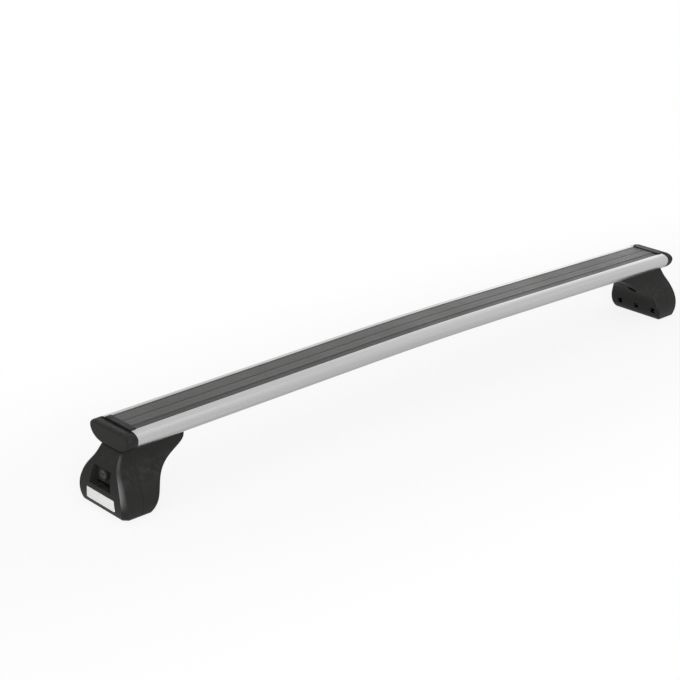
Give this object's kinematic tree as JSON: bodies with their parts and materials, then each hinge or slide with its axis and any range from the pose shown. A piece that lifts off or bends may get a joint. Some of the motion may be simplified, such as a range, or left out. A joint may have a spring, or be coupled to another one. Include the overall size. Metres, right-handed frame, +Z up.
{
  "type": "roof rack crossbar",
  "caption": "Bowed aluminium wing-section roof crossbar with rubber top strips, plastic end caps and bell-shaped clamp feet with removable lockable covers.",
  "frame": {"origin": "on the roof plane under the middle of the bar", "axes": "+X along the bar, +Y across it towards the side with the plain grip strip, +Z up from the roof"},
  "size_m": [1.1248, 0.096, 0.1138],
  "materials": {
    "anodised_aluminium": "satin clear anodised, drawn along the bar",
    "strip_rubber": "matt dark grey",
    "black_plastic": "fine grained moulding",
    "badge_plastic": "smooth, blank",
    "lock_metal": "dark satin",
    "zinc_steel": "bright zinc plated",
    "pad_rubber": "matt black"
  },
  "bodies": {
    "bar": {"bar_extrusion": "anodised_aluminium", "grip_strip_rear": "strip_rubber", "grip_strip_front": "strip_rubber", "slot_strip": "strip_rubber"},
    "cap_left": {"end_cap_left": "black_plastic"},
    "foot_left": {"foot_shell_left": "black_plastic", "saddle_pad_left": "pad_rubber", "sole_pad_left": "pad_rubber", "support_bracket_left": "zinc_steel", "clamp_bolt_left": "zinc_steel", "clamp_washer_left": "zinc_steel", "clamp_nut_left": "zinc_steel"},
    "cover_left": {"outer_cover_left": "black_plastic", "badge_plate_left": "badge_plastic"},
    "lock_left": {"lock_barrel_left": "lock_metal", "lock_tongue_left": "zinc_steel"},
    "cap_right": {"end_cap_right": "black_plastic"},
    "foot_right": {"foot_shell_right": "black_plastic", "saddle_pad_right": "pad_rubber", "sole_pad_right": "pad_rubber", "support_bracket_right": "zinc_steel", "clamp_bolt_right": "zinc_steel", "clamp_washer_right": "zinc_steel", "clamp_nut_right": "zinc_steel"},
    "cover_right": {"outer_cover_right": "black_plastic", "badge_plate_right": "badge_plastic"},
    "lock_right": {"lock_barrel_right": "lock_metal", "lock_tongue_right": "zinc_steel"}
  },
  "joints": [
    {"name": "cap_left_pull", "type": "slide", "parent": "bar", "child": "cap_left", "axis": [-0.9999, 0, -0.0154], "range_m": [0, 0.03]},
    {"name": "foot_left_slide", "type": "slide", "parent": "bar", "child": "foot_left", "axis": [0.9999, 0, 0.0154], "range_m": [0, 0.1]},
    {"name": "cover_left_pull", "type": "slide", "parent": "foot_left", "child": "cover_left", "axis": [-1, 0, 0], "range_m": [0, 0.04]},
    {"name": "lock_left_turn", "type": "hinge", "parent": "cover_left", "child": "lock_left", "pos_m": [-0.55, 0, 0.0466], "axis": [1, 0, 0], "range_deg": [0, 90]},
    {"name": "cap_right_pull", "type": "slide", "parent": "bar", "child": "cap_right", "axis": [0.9999, 0, -0.0154], "range_m": [0, 0.03]},
    {"name": "foot_right_slide", "type": "slide", "parent": "bar", "child": "foot_right", "axis": [-0.9999, 0, 0.0154], "range_m": [0, 0.1]},
    {"name": "cover_right_pull", "type": "slide", "parent": "foot_right", "child": "cover_right", "axis": [1, 0, 0], "range_m": [0, 0.04]},
    {"name": "lock_right_turn", "type": "hinge", "parent": "cover_right", "child": "lock_right", "pos_m": [0.55, 0, 0.0466], "axis": [1, 0, 0], "range_deg": [0, 90]}
  ]
}
